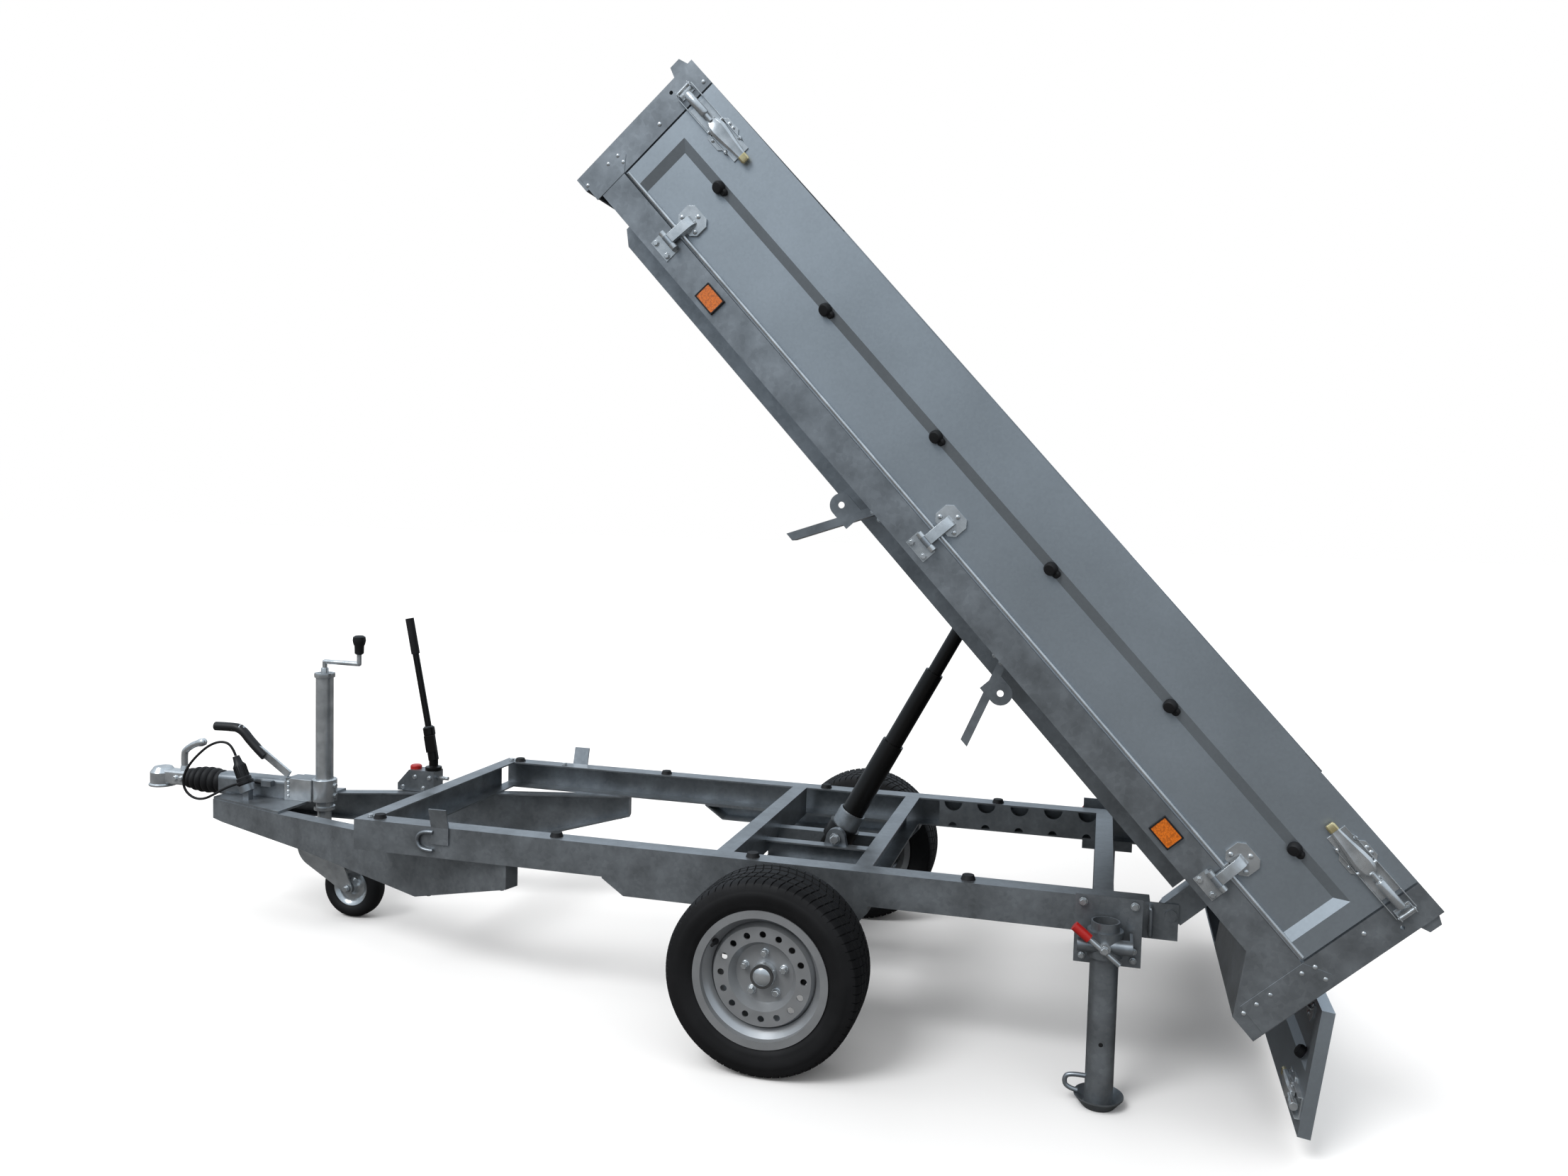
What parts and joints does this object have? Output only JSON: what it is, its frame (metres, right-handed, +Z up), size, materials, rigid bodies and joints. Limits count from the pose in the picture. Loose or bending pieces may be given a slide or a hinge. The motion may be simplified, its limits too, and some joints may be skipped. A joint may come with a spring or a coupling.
{
  "type": "tipper trailer",
  "caption": "Single-axle tipper trailer with a V drawbar, jockey wheel, telescopic hoist, drop sides and tailgate; bed raised, tailgate hanging open.",
  "frame": {"origin": "middle of the length and width, on the ground", "axes": "+X to the rear, +Y to the right-hand side, +Z up"},
  "size_m": [4.1372, 1.598, 2.5851],
  "materials": {
    "galvanised_steel": "hot-dip galvanised, mottled",
    "zinc_plated": "bright zinc plate",
    "panel_grey": "satin grey-blue sheet",
    "hoist_black": "gloss black paint",
    "wheel_silver": "silver paint",
    "cast_hub": "painted casting",
    "black_rubber": "matt rubber",
    "black_plastic": "matt plastic",
    "red_grip": "red dipped grip",
    "lamp_red": "clear red lens",
    "reflector_amber": "amber reflector",
    "tyre": "tyre rubber"
  },
  "bodies": {
    "chassis": {"axle_beam": "galvanised_steel", "axle_brackets": "galvanised_steel", "axle_rails": "galvanised_steel", "bed_guides": "galvanised_steel", "chassis_rail_left": "galvanised_steel", "chassis_rail_right": "galvanised_steel", "coupling_handle": "zinc_plated", "coupling_head": "zinc_plated", "cross_members": "galvanised_steel", "drawbar_arm_left": "galvanised_steel", "drawbar_arm_right": "galvanised_steel", "hand_pump": "galvanised_steel", "handbrake_lever": "zinc_plated", "hoist_cradle": "galvanised_steel", "inner_rail_plates": "galvanised_steel", "jockey_clamp": "galvanised_steel", "jockey_crank": "zinc_plated", "jockey_tube": "zinc_plated", "lamp_cable": "black_rubber", "lamp_plug": "black_plastic", "leg_clamp_levers": "zinc_plated", "leg_clamps": "galvanised_steel", "overrun_housing": "galvanised_steel", "prop_legs": "galvanised_steel", "rail_buffers": "black_rubber", "shaft_bellows": "black_rubber", "swing_arms": "galvanised_steel"},
    "bed": {"bed_bearers": "galvanised_steel", "bed_floor": "galvanised_steel", "bed_front_beam": "galvanised_steel", "bed_rear_beam": "galvanised_steel", "bed_runners": "galvanised_steel", "bed_side_beams": "galvanised_steel", "corner_posts": "galvanised_steel", "front_board": "panel_grey", "hinge_leaves": "zinc_plated", "hoist_bracket": "galvanised_steel", "mudguard_stays": "galvanised_steel", "pivot_brackets": "galvanised_steel", "rear_lamps": "lamp_red", "side_reflectors": "reflector_amber"},
    "panel_left": {"side_panel_left": "panel_grey", "panel_latches_left": "zinc_plated"},
    "panel_right": {"side_panel_right": "panel_grey", "panel_latches_right": "zinc_plated"},
    "gate": {"tailgate": "panel_grey", "gate_latches": "zinc_plated"},
    "wheel_left": {"tyre_left": "tyre", "rim_left": "wheel_silver", "hub_left": "cast_hub"},
    "wheel_right": {"tyre_right": "tyre", "rim_right": "wheel_silver", "hub_right": "cast_hub"},
    "jockey_fork_body": {"jockey_fork": "zinc_plated"},
    "jockey_wheel_body": {"jockey_wheel": "black_rubber"},
    "barrel": {"hoist_barrel": "hoist_black"},
    "lower_stage": {"hoist_lower_stage": "hoist_black"},
    "upper_stage": {"hoist_upper_stage": "hoist_black"},
    "rod": {"hoist_rod": "hoist_black"}
  },
  "joints": [
    {"name": "wheel_left_spin", "type": "hinge", "parent": "chassis", "child": "wheel_left", "pos_m": [0.50741, -0.648, 0.2625], "axis": [0, 1, 0], "continuous": true},
    {"name": "wheel_right_spin", "type": "hinge", "parent": "chassis", "child": "wheel_right", "pos_m": [0.50741, 0.648, 0.2625], "axis": [0, 1, 0], "continuous": true},
    {"name": "jockey_swivel", "type": "hinge", "parent": "chassis", "child": "jockey_fork_body", "pos_m": [-1.32959, 0, 0.25], "axis": [0, 0, 1], "continuous": true},
    {"name": "jockey_wheel_spin", "type": "hinge", "parent": "jockey_fork_body", "child": "jockey_wheel_body", "pos_m": [-1.20359, 0, 0.11], "axis": [0, 1, 0], "continuous": true},
    {"name": "bed_tilt", "type": "hinge", "parent": "chassis", "child": "bed", "pos_m": [1.52141, 0, 0.47], "axis": [0, 1, 0], "range_deg": [-47.5, 0]},
    {"name": "side_panel_left_drop", "type": "hinge", "parent": "bed", "child": "panel_left", "pos_m": [1.65486, -0.787, 0.59228], "axis": [0.6756, 0, -0.7373], "range_deg": [0, 180]},
    {"name": "side_panel_right_drop", "type": "hinge", "parent": "bed", "child": "panel_right", "pos_m": [1.65486, 0.787, 0.59228], "axis": [-0.6756, 0, 0.7373], "range_deg": [0, 180]},
    {"name": "tailgate_swing", "type": "hinge", "parent": "bed", "child": "gate", "pos_m": [1.83119, 0, 0.39985], "axis": [0, 1, 0], "range_deg": [-139.7, 40.3]},
    {"name": "hoist_pivot", "type": "hinge", "parent": "chassis", "child": "barrel", "pos_m": [0.55541, 0, 0.47], "axis": [0, 1, 0], "range_deg": [-17, 0]},
    {"name": "hoist_lower_slide", "type": "slide", "parent": "barrel", "child": "lower_stage", "axis": [0.4699, 0, 0.8827], "range_m": [-0.2535, 0]},
    {"name": "hoist_upper_slide", "type": "slide", "parent": "lower_stage", "child": "upper_stage", "axis": [0.4699, 0, 0.8827], "range_m": [-0.2535, 0]},
    {"name": "hoist_rod_slide", "type": "slide", "parent": "upper_stage", "child": "rod", "axis": [0.4699, 0, 0.8827], "range_m": [-0.2535, 0]}
  ],
  "couplings": [
    {"joint": "hoist_pivot", "follows": "bed_tilt", "ratio": 0.35615},
    {"joint": "hoist_lower_slide", "follows": "bed_tilt", "m_per_rad": 0.3056},
    {"joint": "hoist_upper_slide", "follows": "bed_tilt", "m_per_rad": 0.3056},
    {"joint": "hoist_rod_slide", "follows": "bed_tilt", "m_per_rad": 0.3056}
  ]
}
